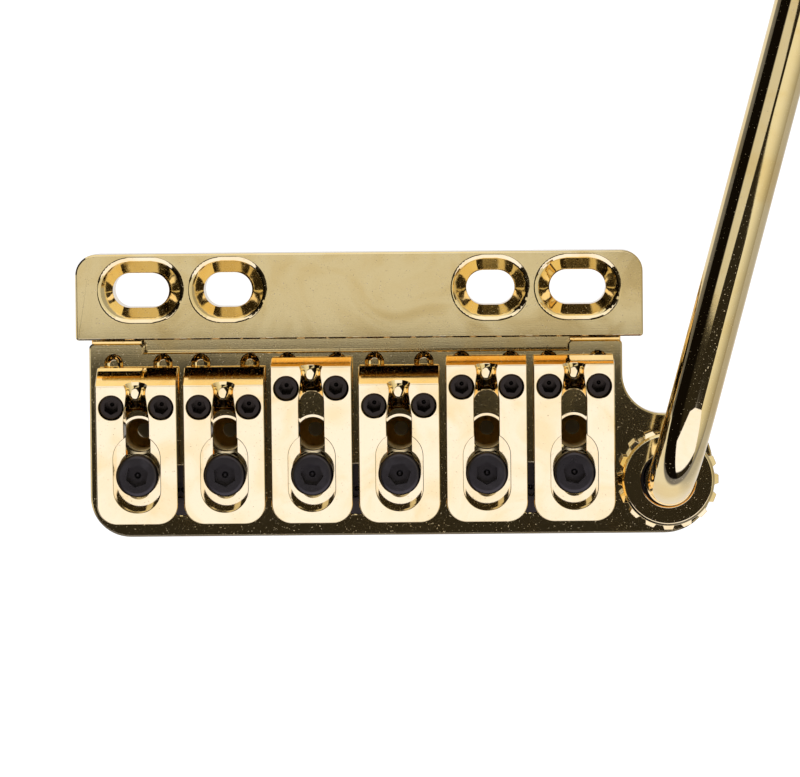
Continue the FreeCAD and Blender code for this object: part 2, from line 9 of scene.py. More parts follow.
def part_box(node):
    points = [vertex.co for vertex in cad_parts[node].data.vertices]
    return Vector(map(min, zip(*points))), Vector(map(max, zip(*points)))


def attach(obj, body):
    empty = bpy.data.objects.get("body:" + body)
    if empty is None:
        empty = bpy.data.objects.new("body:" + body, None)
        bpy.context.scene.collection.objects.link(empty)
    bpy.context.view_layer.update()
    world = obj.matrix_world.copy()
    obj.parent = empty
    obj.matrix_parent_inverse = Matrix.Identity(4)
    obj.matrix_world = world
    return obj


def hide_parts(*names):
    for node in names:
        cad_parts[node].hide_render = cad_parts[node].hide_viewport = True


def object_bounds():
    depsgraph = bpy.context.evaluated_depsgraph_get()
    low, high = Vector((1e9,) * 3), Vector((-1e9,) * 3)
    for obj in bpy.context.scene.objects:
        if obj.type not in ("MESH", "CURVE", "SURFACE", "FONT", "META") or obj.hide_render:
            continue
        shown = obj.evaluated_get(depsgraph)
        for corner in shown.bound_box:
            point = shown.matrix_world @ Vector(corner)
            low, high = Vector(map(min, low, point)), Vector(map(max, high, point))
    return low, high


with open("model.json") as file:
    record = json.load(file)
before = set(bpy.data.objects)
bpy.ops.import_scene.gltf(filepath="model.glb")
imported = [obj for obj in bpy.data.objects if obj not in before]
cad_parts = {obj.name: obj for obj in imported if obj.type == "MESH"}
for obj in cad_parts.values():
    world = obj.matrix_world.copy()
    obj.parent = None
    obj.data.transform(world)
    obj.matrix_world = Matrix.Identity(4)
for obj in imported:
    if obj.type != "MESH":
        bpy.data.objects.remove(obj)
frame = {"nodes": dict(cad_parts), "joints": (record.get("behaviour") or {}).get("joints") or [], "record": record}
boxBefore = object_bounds()
joints = {joint["name"]: joint for joint in frame["joints"]}
bodies = frame["record"]["behaviour"]["bodies"]
bodyOf = {node: body for body, nodes in bodies.items() for node in nodes}
mm = 0.001
stringNumbers = range(1, 7)
print("frame loaded with", len(frame["nodes"]), "nodes")


# Node graphs: a wire is a socket that can be added, multiplied and so on

class Wire:
    def __init__(self, graph, socket):
        self.graph = graph
        self.socket = socket

    def beside(self, name):
        return Wire(self.graph, self.socket.node.outputs[name])

    def math(self, operation, other=0.0, flipped=False):
        pair = (other, self) if flipped else (self, other)
        return self.graph.node("ShaderNodeMath", {"operation": operation}, dict(enumerate(pair)))

    def __add__(self, other):
        return self.math("ADD", other)

    def __radd__(self, other):
        return self.math("ADD", other, True)

    def __sub__(self, other):
        return self.math("SUBTRACT", other)

    def __rsub__(self, other):
        return self.math("SUBTRACT", other, True)

    def __mul__(self, other):
        return self.math("MULTIPLY", other)

    def __rmul__(self, other):
        return self.math("MULTIPLY", other, True)

    def __truediv__(self, other):
        return self.math("DIVIDE", other)

    def __rtruediv__(self, other):
        return self.math("DIVIDE", other, True)

    def __pow__(self, other):
        return self.math("POWER", other)

    def most(self, other):
        return self.math("MAXIMUM", other)


class Graph:
    def __init__(self, tree):
        self.tree = tree

    def node(self, kind, settings=None, sockets=None, out=0):
        item = self.tree.nodes.new(kind)
        for name, value in (settings or {}).items():
            setattr(item, name, value)
        for key, value in (sockets or {}).items():
            if isinstance(value, Wire):
                self.tree.links.new(value.socket, item.inputs[key])
            else:
                item.inputs[key].default_value = value
        return Wire(self, item.outputs[out] if len(item.outputs) else None)

    def blend(self, share, first, second):
        return self.node("ShaderNodeMix", {"data_type": "RGBA"}, {0: share, 6: first, 7: second}, 2)

    def step(self, value, low, high):
        return self.node("ShaderNodeMapRange", {"interpolation_type": "SMOOTHSTEP"},
                         {"Value": value, "From Min": low, "From Max": high})

    def noise(self, place, scale, detail, twist=0.0):
        return self.node("ShaderNodeTexNoise", {}, {
            "Vector": place, "Scale": scale, "Detail": detail, "Distortion": twist}, "Fac")


def materialGraph(name):
    material = bpy.data.materials.new(name)
    material.use_nodes = True
    material.node_tree.nodes.clear()
    return material, Graph(material.node_tree)


def color(values):
    return (*values, 1.0)


# Finishes

goldLook = {
    "gold": (1.0, 0.80, 0.42),
    "deepGold": (0.95, 0.70, 0.30),
    "roughness": 0.045,
    "smear": 0.10,
    "smearPower": 3.0,
    "smearScale": 120.0,
    "smearDetail": 6.0,
    "smearTwist": 1.5,
    "deepRange": (0.35, 0.75),
    "hairStretch": (150.0, 9000.0, 9000.0),
    "hairDetail": 3.0,
    "hairRise": 0.0000002,
    "grainScale": 6000.0,
    "grainDetail": 2.0,
    "grainRise": 0.0000002,
    "speckScale": 5200.0,
    "speckDetail": 1.0,
    "speckRange": (0.70, 0.76),
    "speckRoughness": 0.45,
}


def goldFinish(name, changes=None):
    look = {**goldLook, **(changes or {})}
    material, graph = materialGraph(name)
    place = graph.node("ShaderNodeTexCoord", out="Object")
    smears = graph.noise(place, look["smearScale"], look["smearDetail"], look["smearTwist"])
    grain = graph.noise(place, look["grainScale"], look["grainDetail"])
    stretched = graph.node("ShaderNodeMapping", {}, {"Vector": place, "Scale": look["hairStretch"]})
    hairs = graph.noise(stretched, 1.0, look["hairDetail"])
    deep = graph.step(smears, *look["deepRange"])
    tone = graph.blend(deep, color(look["gold"]), color(look["deepGold"]))
    specks = graph.step(graph.noise(place, look["speckScale"], look["speckDetail"]), *look["speckRange"])
    worn = look["smear"] * smears ** look["smearPower"] + look["speckRoughness"] * specks
    roughness = look["roughness"] + worn
    height = hairs * look["hairRise"] + grain * look["grainRise"]
    normal = graph.node("ShaderNodeBump", {}, {"Strength": 1.0, "Distance": 1.0, "Height": height})
    surface = graph.node("ShaderNodeBsdfPrincipled", {}, {
        "Base Color": tone, "Metallic": 1.0, "Roughness": roughness, "Normal": normal})
    graph.node("ShaderNodeOutputMaterial", {}, {"Surface": surface})
    return material


blackLook = {
    "black": (0.005, 0.005, 0.005),
    "worn": (0.022, 0.021, 0.020),
    "tint": (1.0, 0.82, 0.68),
    "specular": 0.7,
    "roughness": 0.32,
    "grainScale": 3500.0,
    "grainDetail": 3.0,
    "grainRoughness": 0.1,
    "grainRise": 0.000004,
    "patchScale": 437.5,
    "patchDetail": 4.0,
    "patchRoughness": 0.2,
    "wornRange": (0.5, 0.8),
}


def blackFinish(name, changes=None):
    look = {**blackLook, **(changes or {})}
    material, graph = materialGraph(name)
    place = graph.node("ShaderNodeTexCoord", out="Object")
    grain = graph.noise(place, look["grainScale"], look["grainDetail"])
    patches = graph.noise(place, look["patchScale"], look["patchDetail"])
    worn = graph.step(patches, *look["wornRange"])
    tone = graph.blend(worn, color(look["black"]), color(look["worn"]))
    mottle = look["patchRoughness"] * (patches - 0.5) + look["grainRoughness"] * (grain - 0.5)
    roughness = look["roughness"] + mottle
    normal = graph.node("ShaderNodeBump", {}, {
        "Strength": 1.0, "Distance": 1.0, "Height": grain * look["grainRise"]})
    surface = graph.node("ShaderNodeBsdfPrincipled", {}, {
        "Base Color": tone, "Metallic": 0.0, "Roughness": roughness, "Normal": normal,
        "Specular Tint": color(look["tint"]), "Specular IOR Level": look["specular"]})
    graph.node("ShaderNodeOutputMaterial", {}, {"Surface": surface})
    return material


finishes = {
    "gold_bar": goldFinish("barGold"),
    "gold_plate": goldFinish("plateGold"),
    "gold_block": goldFinish("blockGold", {
        "deepGold": (0.98, 0.77, 0.385), "roughness": 0.28, "grainRise": 0.00001}),
    "gold_saddles": goldFinish("saddleGold"),
    "gold_fittings": goldFinish("fittingGold"),
    "gold_arm": goldFinish("armGold", {"roughness": 0.03, "smear": 0.06}),
    "black_screws": blackFinish("screwBlack"),
    "bush_plastic": blackFinish("bushPlastic", {"roughness": 0.5, "specular": 0.5}),
}
grubBlack = blackFinish("grubBlack", {"roughness": 0.24, "specular": 0.42, "tint": (1.0, 0.74, 0.48)})
print("finishes made:", len(finishes) + 1)


# Ways to make and place a piece

def newPiece(name, mesh):
    piece = bpy.data.objects.new(name, mesh)
    bpy.context.scene.collection.objects.link(piece)
    return piece


def plain(piece):
    depsgraph = bpy.context.evaluated_depsgraph_get()
    mesh = bpy.data.meshes.new_from_object(piece.evaluated_get(depsgraph))
    piece.modifiers.clear()
    piece.data = mesh
    return piece


sharpAngle = math.radians(32)
nearly = 0.001 * mm  # heights and places this close count as the same


def soften(piece, width, segments=2):
    bevel = piece.modifiers.new("soften", "BEVEL")
    bevel.width = width
    bevel.segments = segments
    bevel.limit_method = "ANGLE"
    bevel.angle_limit = sharpAngle
    return plain(piece)


shadeLook = {"weight": 100, "reach": 0.005}


def shade(piece):
    work = bmesh.new()
    work.from_mesh(piece.data)
    bmesh.ops.recalc_face_normals(work, faces=work.faces)
    for face in work.faces:
        face.smooth = True
    for edge in work.edges:
        edge.smooth = edge.calc_face_angle(math.pi) < sharpAngle
    work.to_mesh(piece.data)
    work.free()
    # The modifier loses small faces, so the mesh is in millimetres while it works
    piece.data.transform(Matrix.Scale(1 / mm, 4))
    weighted = piece.modifiers.new("weighted", "WEIGHTED_NORMAL")
    weighted.keep_sharp = True
    weighted.weight = shadeLook["weight"]
    weighted.thresh = shadeLook["reach"]
    plain(piece)
    piece.data.transform(Matrix.Scale(mm, 4))
    return piece


def outwardFaces(piece):
    work = bmesh.new()
    work.from_mesh(piece.data)
    bmesh.ops.recalc_face_normals(work, faces=work.faces)
    work.to_mesh(piece.data)
    work.free()
    return piece


def stand(piece, node, finish=None):
    slot = frame["nodes"][node].material_slots[0].material.name
    piece.data.materials.clear()
    piece.data.materials.append(finish or finishes[slot])
    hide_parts(node)
    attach(piece, bodyOf[node])


def closedMesh(name, rings):
    rounds = len(rings[0])
    points = [point for ringPoints in rings for point in ringPoints]
    last = (len(rings) - 1) * rounds
    faces = [tuple(range(rounds)), tuple(range(last, last + rounds))]
    for start in range(0, last, rounds):
        for index in range(rounds):
            after = (index + 1) % rounds
            faces.append((start + index, start + after, start + rounds + after, start + rounds + index))
    mesh = bpy.data.meshes.new(name)
    mesh.from_pydata(points, [], faces)
    return outwardFaces(newPiece(name, mesh))


# Copies of solids: flat faces are joined again, and outer top edges are rounded

copyLook = {
    "merge": 0.0005 * mm, "flat": math.radians(0.2), "upright": 0.2,
    "aside": 0.02 * mm, "below": 0.1 * mm, "reach": 14 * mm, "roundSegments": 4,
}


def roundOuterEdges(work, width):
    look = copyLook
    tree = BVHTree.FromBMesh(work)
    top = max(vert.co.z for vert in work.verts)
    chosen = []
    for edge in work.edges:
        if any(abs(vert.co.z - top) > nearly for vert in edge.verts):
            continue
        walls = [face.normal for face in edge.link_faces if abs(face.normal.z) < look["upright"]]
        if not walls:
            continue
        middle = (edge.verts[0].co + edge.verts[1].co) / 2
        outside = middle + walls[0] * look["aside"] - Vector((0, 0, look["below"]))
        if tree.ray_cast(outside, walls[0], look["reach"])[0] is None:
            chosen.append(edge)
    bmesh.ops.bevel(work, geom=chosen, offset=width, segments=look["roundSegments"],
                    profile=0.5, affect="EDGES")


def polishedCopy(node, edge, rounded=0):
    work = bmesh.new()
    work.from_mesh(frame["nodes"][node].data)
    bmesh.ops.remove_doubles(work, verts=work.verts, dist=copyLook["merge"])
    bmesh.ops.dissolve_limit(work, angle_limit=copyLook["flat"], verts=work.verts, edges=work.edges)
    bmesh.ops.recalc_face_normals(work, faces=work.faces)
    if rounded:
        roundOuterEdges(work, rounded)
    work.verts.index_update()
    mesh = bpy.data.meshes.new(node + "Polished")
    points = [vert.co[:] for vert in work.verts]
    mesh.from_pydata(points, [], [[vert.index for vert in face.verts] for face in work.faces])
    work.free()
    piece = newPiece(node + "Polished", mesh)
    if edge:
        soften(piece, edge)
    return shade(piece)


# A bevel for all edges, and a rounding for the outer top edge
copiedEdges = {
    "fixed_plate": (0.04 * mm, 0.10 * mm),
    "arm_socket": (0.08 * mm, 0),
    "arm_bush": (0.08 * mm, 0),
}
for node, widths in copiedEdges.items():
    stand(polishedCopy(node, *widths), node)
print("fixed plate, socket and bush made")


# Geometry node trees for the turned pieces

def growTree(name, sizes):
    tree = bpy.data.node_groups.new(name, "GeometryNodeTree")
    for label, value in sizes.items():
        kind = "NodeSocketInt" if isinstance(value, int) else "NodeSocketFloat"
        tree.interface.new_socket(label, in_out="INPUT", socket_type=kind)
    tree.interface.new_socket("Finish", in_out="INPUT", socket_type="NodeSocketMaterial")
    tree.interface.new_socket("Geometry", in_out="OUTPUT", socket_type="NodeSocketGeometry")
    graph = Graph(tree)
    entry = tree.nodes.new("NodeGroupInput")
    return graph, {socket.name: Wire(graph, socket) for socket in entry.outputs if socket.name}


def closeTree(graph, shape, wires):
    real = graph.node("GeometryNodeRealizeInstances", {}, {"Geometry": shape})
    dressed = graph.node("GeometryNodeSetMaterial", {}, {"Geometry": real, "Material": wires["Finish"]})
    graph.node("NodeGroupOutput", {}, {"Geometry": dressed})
    return graph.tree


def grow(name, tree, sizes, finish):
    piece = newPiece(name, bpy.data.meshes.new(name))
    growth = piece.modifiers.new("growth", "NODES")
    growth.node_group = tree
    values = {**sizes, "Finish": finish}
    for item in tree.interface.items_tree:
        if item.in_out == "INPUT":
            growth[item.identifier] = values[item.name]
    return plain(piece)


def lifted(graph, shape, height):
    move = graph.node("ShaderNodeCombineXYZ", {}, {"Z": height})
    return graph.node("GeometryNodeTransform", {}, {"Geometry": shape, "Translation": move})


def ring(graph, rounds, high, low):
    cone = graph.node("GeometryNodeMeshCone", {"fill_type": "NONE"}, {
        "Vertices": rounds, "Radius Top": high[0], "Radius Bottom": low[0], "Depth": high[1] - low[1]})
    return lifted(graph, cone, low[1])


def joined(graph, shapes, reach=0.002 * mm):
    join = graph.node("GeometryNodeJoinGeometry")
    for shape in reversed(shapes):
        graph.tree.links.new(shape.socket, join.socket.node.inputs[0])
    return graph.node("GeometryNodeMergeByDistance", {}, {"Geometry": join, "Distance": reach})


# Socket screws: a turned head, ring threads and a hexagon socket with a drilled bottom

capScrew = {
    "Head Radius": 2.63 * mm, "Foot Radius": 2.63 * mm, "Head Height": 3.0 * mm,
    "Rim": 0.55 * mm, "Rim Height": 0.5 * mm, "Hex Flats": 2.5 * mm, "Hex Depth": 2.0 * mm,
    "Shank Radius": 1.45 * mm, "Length": 9.5 * mm, "Tip Radius": 1.2 * mm, "Tip Length": 0.4 * mm,
    "Thread Depth": 0.22 * mm, "Threads": 13, "Rounds": 96,
}
grubScrew = {
    **capScrew, "Head Radius": 1.5 * mm, "Foot Radius": 1.5 * mm, "Head Height": 0.45 * mm,
    "Rim": 0.2 * mm, "Rim Height": 0.2 * mm, "Hex Flats": 1.65 * mm, "Hex Depth": 2.4 * mm,
    "Shank Radius": 1.5 * mm, "Tip Radius": 0.5 * mm, "Tip Length": 1.7 * mm,
    "Thread Depth": 0.2 * mm, "Threads": 11, "Rounds": 72,
}
sunkScrew = {
    **capScrew, "Head Radius": 3.1 * mm, "Foot Radius": 1.75 * mm, "Head Height": 1.35 * mm,
    "Rim": 0.02 * mm, "Rim Height": 0.01 * mm, "Hex Flats": 2.0 * mm, "Hex Depth": 1.2 * mm,
    "Shank Radius": 1.75 * mm, "Length": 13.0 * mm, "Tip Radius": 1.4 * mm, "Tip Length": 0.5 * mm,
    "Thread Depth": 0.25 * mm, "Threads": 16, "Rounds": 72,
}
# The rim's points, in from the head's side and down from its top
rimShares = [(1.0, 0.0), (0.45, 0.16), (0.12, 0.52), (0.0, 1.0)]
# Shares of half the width over the hexagon's flats, but for the mouth, a share of half that over its points
socketShares = {
    "drill": 0.98, "drillDepth": 1.2, "drillSink": 0.4,
    "mouth": 1.3, "mouthDepth": 0.34, "mouthSink": 0.2,
}


def screwTree():
    graph, size = growTree("socketScrew", capScrew)
    rounds = size["Rounds"]
    head = size["Head Radius"]
    root = size["Shank Radius"] - size["Thread Depth"]
    neck = size["Head Height"] * -1.0
    tip = size["Length"] * -1.0
    threadEnd = tip + size["Tip Length"]
    pitch = (neck - threadEnd) / size["Threads"]
    rim = [(head - size["Rim"] * inward, size["Rim Height"] * -down) for inward, down in rimShares]
    profile = [(0.0, 0.0), *rim, (size["Foot Radius"], neck), (root, neck)]
    end = [(root, threadEnd), (size["Tip Radius"], tip), (0.0, tip)]
    shapes = [ring(graph, rounds, *pair) for pair in zip(profile, profile[1:])]
    shapes += [ring(graph, rounds, *pair) for pair in zip(end, end[1:])]
    crest = (size["Shank Radius"], pitch * 0.5)
    thread = joined(graph, [
        ring(graph, rounds, (root, pitch), crest),
        ring(graph, rounds, crest, (root, 0.0)),
    ])
    rise = graph.node("ShaderNodeCombineXYZ", {}, {"Z": pitch})
    start = graph.node("ShaderNodeCombineXYZ", {}, {"Z": threadEnd})
    line = graph.node("GeometryNodeMeshLine", {}, {
        "Count": size["Threads"], "Start Location": start, "Offset": rise})
    threads = graph.node("GeometryNodeInstanceOnPoints", {}, {"Points": line, "Instance": thread})
    shapes.append(graph.node("GeometryNodeRealizeInstances", {}, {"Geometry": threads}))
    body = joined(graph, shapes)
    point = size["Hex Flats"] / math.sqrt(3)
    half = size["Hex Flats"] * 0.5
    shares = socketShares
    key = graph.node("GeometryNodeMeshCylinder", {}, {
        "Vertices": 6, "Radius": point, "Depth": size["Hex Depth"] * 2.0})
    drill = graph.node("GeometryNodeMeshCone", {}, {
        "Vertices": rounds, "Radius Top": half * shares["drill"], "Radius Bottom": 0.0,
        "Depth": half * shares["drillDepth"]})
    drill = lifted(graph, drill, size["Hex Depth"] * -1.0 - half * shares["drillSink"])
    mouth = graph.node("GeometryNodeMeshCone", {}, {
        "Vertices": rounds, "Radius Top": point * shares["mouth"], "Radius Bottom": half,
        "Depth": half * shares["mouthDepth"]})
    mouth = lifted(graph, mouth, half * -shares["mouthSink"])
    cut = body
    for tool in (key, drill, mouth):
        cut = graph.node("GeometryNodeMeshBoolean", {"operation": "DIFFERENCE"}, {
            "Mesh 1": cut, "Mesh 2": tool})
    return closeTree(graph, cut, size)


def placedAt(piece, place, axis, turn):
    aim = Vector((0, 0, 1)).rotation_difference(Vector(axis)).to_matrix().to_4x4()
    piece.data.transform(Matrix.Translation(place) @ aim @ Matrix.Rotation(math.radians(turn), 4, "Z"))
    return piece


screwShape = screwTree()
screwFinish = finishes["black_screws"]
goldenTurn = 137.5  # spreads the ways that the hexagons point
grubSink = 0.4 * mm
blockScrewCount = 3


def topAlong(node, place, axis):
    reach = max((Vector(vert.co) - place).dot(axis) for vert in frame["nodes"][node].data.vertices)
    return place + axis * reach


def lengthAlong(node, axis):
    shares = [Vector(vert.co).dot(axis) for vert in frame["nodes"][node].data.vertices]
    return max(shares) - min(shares)


def makeTurningScrew(node, joint, sizes, turn, sink=0.0, finish=None):
    axis = Vector(joints[joint]["axis"]).normalized()
    top = topAlong(node, Vector(joints[joint]["pos_m"]), axis) - axis * sink
    sizes = {**sizes, "Length": lengthAlong(node, axis) - sink}
    piece = grow(node + "Turned", screwShape, sizes, screwFinish)
    stand(shade(placedAt(piece, top, axis, turn)), node, finish)


def makeBlockScrews():
    low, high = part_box("block_screws")
    group = bmesh.new()
    radius = sunkScrew["Head Radius"]
    pitch = (high.x - low.x - 2 * radius) / (blockScrewCount - 1)
    for index in range(blockScrewCount):
        piece = grow("blockScrew%d" % index, screwShape, sunkScrew, screwFinish)
        place = Vector((low.x + radius + pitch * index, (low.y + high.y) / 2, high.z))
        group.from_mesh(placedAt(piece, place, (0, 0, 1), goldenTurn * index).data)
        bpy.data.objects.remove(piece)
    mesh = bpy.data.meshes.new("blockScrews")
    group.to_mesh(mesh)
    group.free()
    stand(shade(newPiece("blockScrews", mesh)), "block_screws")


for index in stringNumbers:
    node = "saddle_lock_screw_%d" % index
    makeTurningScrew(node, "lock_screw_%d_turn" % index, capScrew, goldenTurn * index)
    for hand in ("left", "right"):
        node = "height_screw_%d_%s" % (index, hand)
        turn = goldenTurn * (index + len(hand))
        makeTurningScrew(node, node + "_turn", grubScrew, turn, grubSink, grubBlack)
makeBlockScrews()
print("screws made")


# Knurled nut: a turned ring with tapered teeth

nutShape = {
    "Radius": 5.73 * mm, "Height": 5.0 * mm, "Rim": 0.3 * mm, "Bore": 3.45 * mm, "Thread": 4.55 * mm,
    "Lip": 1.1 * mm, "Tooth Reach": 0.5 * mm, "Tooth Base": 1.6 * mm, "Tooth Top": 1.04 * mm,
    "Tooth Height": 4.4 * mm, "Tooth Drop": 0.36 * mm, "Teeth": 16, "Rounds": 128,
}
nutEdge = 0.06 * mm


def nutTree():
    graph, size = growTree("knurledNut", nutShape)
    rounds = size["Rounds"]
    radius = size["Radius"]
    height = size["Height"]
    under = height - size["Lip"]
    pairs = [
        ((size["Bore"], height), (radius - size["Rim"], height)),
        ((radius - size["Rim"], height), (radius, height - size["Rim"])),
        ((radius, height - size["Rim"]), (radius, 0.0)),
        ((radius, 0.0), (size["Thread"], 0.0)),
        ((size["Thread"], under), (size["Thread"], 0.0)),
        ((size["Thread"], under), (size["Bore"], under)),
        ((size["Bore"], height), (size["Bore"], under)),
    ]
    turned = joined(graph, [ring(graph, rounds, *pair) for pair in pairs])
    root = size["Rim"]
    reach = size["Tooth Reach"] + root
    extent = graph.node("ShaderNodeCombineXYZ", {}, {
        "X": reach, "Y": size["Tooth Base"], "Z": size["Tooth Height"]})
    block = graph.node("GeometryNodeMeshCube", {}, {"Size": extent})
    position = graph.node("GeometryNodeInputPosition")
    spot = graph.node("ShaderNodeSeparateXYZ", {}, {"Vector": position}, "X")
    outward = spot / reach + 0.5
    narrow = 1.0 - outward * (1.0 - size["Tooth Top"] / size["Tooth Base"])
    tall = spot.beside("Z")
    sloped = tall - tall.math("GREATER_THAN", 0.0) * outward * size["Tooth Drop"]
    tapered = graph.node("ShaderNodeCombineXYZ", {}, {
        "X": spot, "Y": spot.beside("Y") * narrow, "Z": sloped})
    tooth = graph.node("GeometryNodeSetPosition", {}, {"Geometry": block, "Position": tapered})
    middle = radius - root + reach * 0.5
    spots = graph.node("GeometryNodeMeshCircle", {}, {"Vertices": size["Teeth"], "Radius": middle})
    turn = graph.node("GeometryNodeInputIndex") * (2 * math.pi) / size["Teeth"]
    heading = graph.node("ShaderNodeCombineXYZ", {}, {"Z": turn})
    teeth = graph.node("GeometryNodeInstanceOnPoints", {}, {
        "Points": spots, "Instance": tooth, "Rotation": heading})
    teeth = lifted(graph, teeth, size["Tooth Height"] * 0.5)
    shape = graph.node("GeometryNodeJoinGeometry", {}, {"Geometry": turned})
    graph.tree.links.new(teeth.socket, shape.socket.node.inputs[0])
    return closeTree(graph, shape, size)


def makeNut():
    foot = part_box("arm_nut")[0].z
    piece = grow("armNutKnurled", nutTree(), nutShape, finishes["gold_fittings"])
    axis = Vector(joints["arm_nut_turn"]["pos_m"])
    placedAt(piece, Vector((axis.x, axis.y, foot)), (0, 0, 1), 0)
    stand(shade(soften(piece, nutEdge)), "arm_nut")


makeNut()
print("nut made")


# Arm: rings of points along the leg, the bend and the bar

armShape = {
    "radius": 2.95 * mm, "bend": 10.5 * mm, "height": 20.0 * mm, "rise": 2.0, "heading": 15.09,
    "length": 136.5 * mm, "tipRound": 2.5 * mm, "footBevel": 0.6 * mm,
    "rounds": 96, "bendSteps": 48, "barSteps": 28, "tipSteps": 12,
}


def armStations():
    shape = armShape
    rise = math.radians(shape["rise"])
    bend = shape["bend"]
    radius = shape["radius"]
    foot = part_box("tremolo_arm")[0].z
    bendHeight = joints["arm_swing"]["pos_m"][2] + shape["height"] - bend
    upright = math.pi / 2
    stations = [
        (0.0, foot, radius - shape["footBevel"], upright),
        (0.0, foot + shape["footBevel"], radius, upright),
        (0.0, bendHeight, radius, upright),
    ]
    for step in range(1, shape["bendSteps"] + 1):
        slope = upright + (rise - upright) * step / shape["bendSteps"]
        along = bend * (1 - math.sin(slope))
        stations.append((along, bendHeight + bend * math.cos(slope), radius, slope))
    barStart, barHeight = stations[-1][:2]

    def onBar(reach, thickness):
        along = barStart + reach * math.cos(rise)
        stations.append((along, barHeight + reach * math.sin(rise), thickness, rise))

    tip = shape["tipRound"]
    straight = shape["length"] - tip
    for step in range(1, shape["barSteps"] + 1):
        onBar(straight * step / shape["barSteps"], radius)
    for step in range(1, shape["tipSteps"] + 1):
        sweep = upright * step / shape["tipSteps"]
        onBar(straight + tip * math.sin(sweep), radius - tip + tip * math.cos(sweep))
    return stations


def makeArm():
    rounds = armShape["rounds"]
    turns = [2 * math.pi * index / rounds for index in range(rounds)]
    heading = math.radians(armShape["heading"])
    forward = Vector((math.sin(heading), math.cos(heading), 0))
    sideways = Vector((math.cos(heading), -math.sin(heading), 0))
    pivot = joints["arm_swing"]["pos_m"]
    rings = []
    for along, height, thickness, slope in armStations():
        middle = Vector((pivot[0], pivot[1], height)) + forward * along
        outward = Vector((0, 0, math.cos(slope))) - forward * math.sin(slope)
        spokes = [sideways * math.cos(turn) + outward * math.sin(turn) for turn in turns]
        rings.append([middle + thickness * spoke for spoke in spokes])
    stand(shade(closedMesh("armBent", rings)), "tremolo_arm")


makeArm()
print("arm made")


# Saddles: a tilted bar, cut by a well, a throat, a round string channel and two screw holes

saddleShape = {
    "tilt": 6.5, "height": 5.6 * mm, "corner": 2.5 * mm, "cornerSegments": 20,
    "edge": 0.14 * mm, "edgeSegments": 3, "lip": 0.10 * mm,
    "wellStart": 0.77 * mm, "wellEnd": 10.47 * mm, "wellRadius": 2.9 * mm,
    "wellFloor": 2.7 * mm, "wellTilt": 4.0,
    "throatStart": 2.27 * mm, "throatSetback": 3.8 * mm, "throatRadius": 1.55 * mm,
    "channelNarrow": 1.15 * mm, "channelFlare": 0.4 * mm, "channelFade": 0.45 * mm,
    "channelDepth": 0.95 * mm, "channelCrest": 0.6 * mm, "channelBow": 280.0,
    "channelStart": -2.0 * mm, "channelLength": 5.4 * mm, "channelFlareStart": -0.3 * mm,
    "channelWidenStart": 1.1 * mm, "channelWidenLength": 3.2 * mm,
    "channelSteps": 36, "channelRoundSteps": 16, "channelLipSweeps": (15, 45, 75),
    "screwSpread": 3.06 * mm, "screwSetback": 2.75 * mm, "screwHole": 1.55 * mm, "rounds": 64,
}
saddleLengths = {"short": (17.32 * mm, 18.77 * mm), "long": (19.57 * mm, 19.87 * mm)}


def slotOutline(low, high, radius, rounds):
    half = rounds // 2
    outline = []
    for index in range(rounds):
        turn = math.pi * (index % half) / (half - 1)
        if index < half:
            outline.append((radius * math.cos(turn), high + radius * math.sin(turn)))
        else:
            outline.append((-radius * math.cos(turn), low - radius * math.sin(turn)))
    return outline


def roundOutline(place, radius, rounds):
    turns = [2 * math.pi * index / rounds for index in range(rounds)]
    return [(place[0] + radius * math.cos(turn), place[1] + radius * math.sin(turn)) for turn in turns]


# Cutters leave a round lip, a quarter circle that ends a little outside and above the face
cutterLook = {"lipSweeps": (0, 25, 50, 75), "lipOut": 1.05, "lipUp": 0.5, "above": 4 * mm}


def lipSteps(lip, sweeps=cutterLook["lipSweeps"]):
    turns = [math.radians(sweep) for sweep in sweeps]
    steps = [(lip * (1 - math.cos(turn)), lip * (math.sin(turn) - 1)) for turn in turns]
    return steps + [(cutterLook["lipOut"] * lip, cutterLook["lipUp"] * lip)]


def lippedCutter(name, outline, floorAt, topAt, steps):
    rings = [[(x, y, floorAt(y)) for x, y in outline(0)]]
    for out, rise in steps + [(steps[-1][0], cutterLook["above"])]:
        rings.append([(x, y, topAt(y) + rise) for x, y in outline(out)])
    return closedMesh(name, rings)


def cutAway(piece, tool):
    cut = piece.modifiers.new("cut", "BOOLEAN")
    cut.operation = "DIFFERENCE"
    cut.solver = "EXACT"
    cut.object = tool
    plain(piece)
    bpy.data.objects.remove(tool)


def channelSection(radius, middle, along):
    shape = saddleShape
    height = shape["height"]
    over = (middle - height + shape["lip"]) / radius
    end = math.acos(over) if over > 0 else math.pi / 2
    turns = [end * step / shape["channelRoundSteps"] for step in range(shape["channelRoundSteps"] + 1)]
    side = [(radius * math.sin(turn), middle - radius * math.cos(turn)) for turn in turns]
    edge = side[-1][0]
    side += [(edge + out, height + up) for out, up in lipSteps(shape["lip"], shape["channelLipSweeps"])]
    side.append((side[-1][0], height + cutterLook["above"]))
    return [(x, along, z) for x, z in side] + [(-x, along, z) for x, z in reversed(side[1:])]


def channelRings(top):
    shape = saddleShape
    start = shape["channelStart"]
    steps = shape["channelSteps"]
    narrow = shape["channelNarrow"]
    rings = []
    for step in range(steps + 1):
        back = start + (shape["channelLength"] - start) * step / steps
        flared = max(back, shape["channelFlareStart"])
        mouth = shape["channelFlare"] * math.exp(-flared / shape["channelFade"])
        widen = min(max((back - shape["channelWidenStart"]) / shape["channelWidenLength"], 0), 1)
        radius = narrow + mouth + (shape["throatRadius"] - narrow) * widen
        depth = shape["channelDepth"] + shape["channelBow"] * (back - shape["channelCrest"]) ** 2
        rings.append(channelSection(radius, shape["height"] - depth + radius, top - back))
    return rings


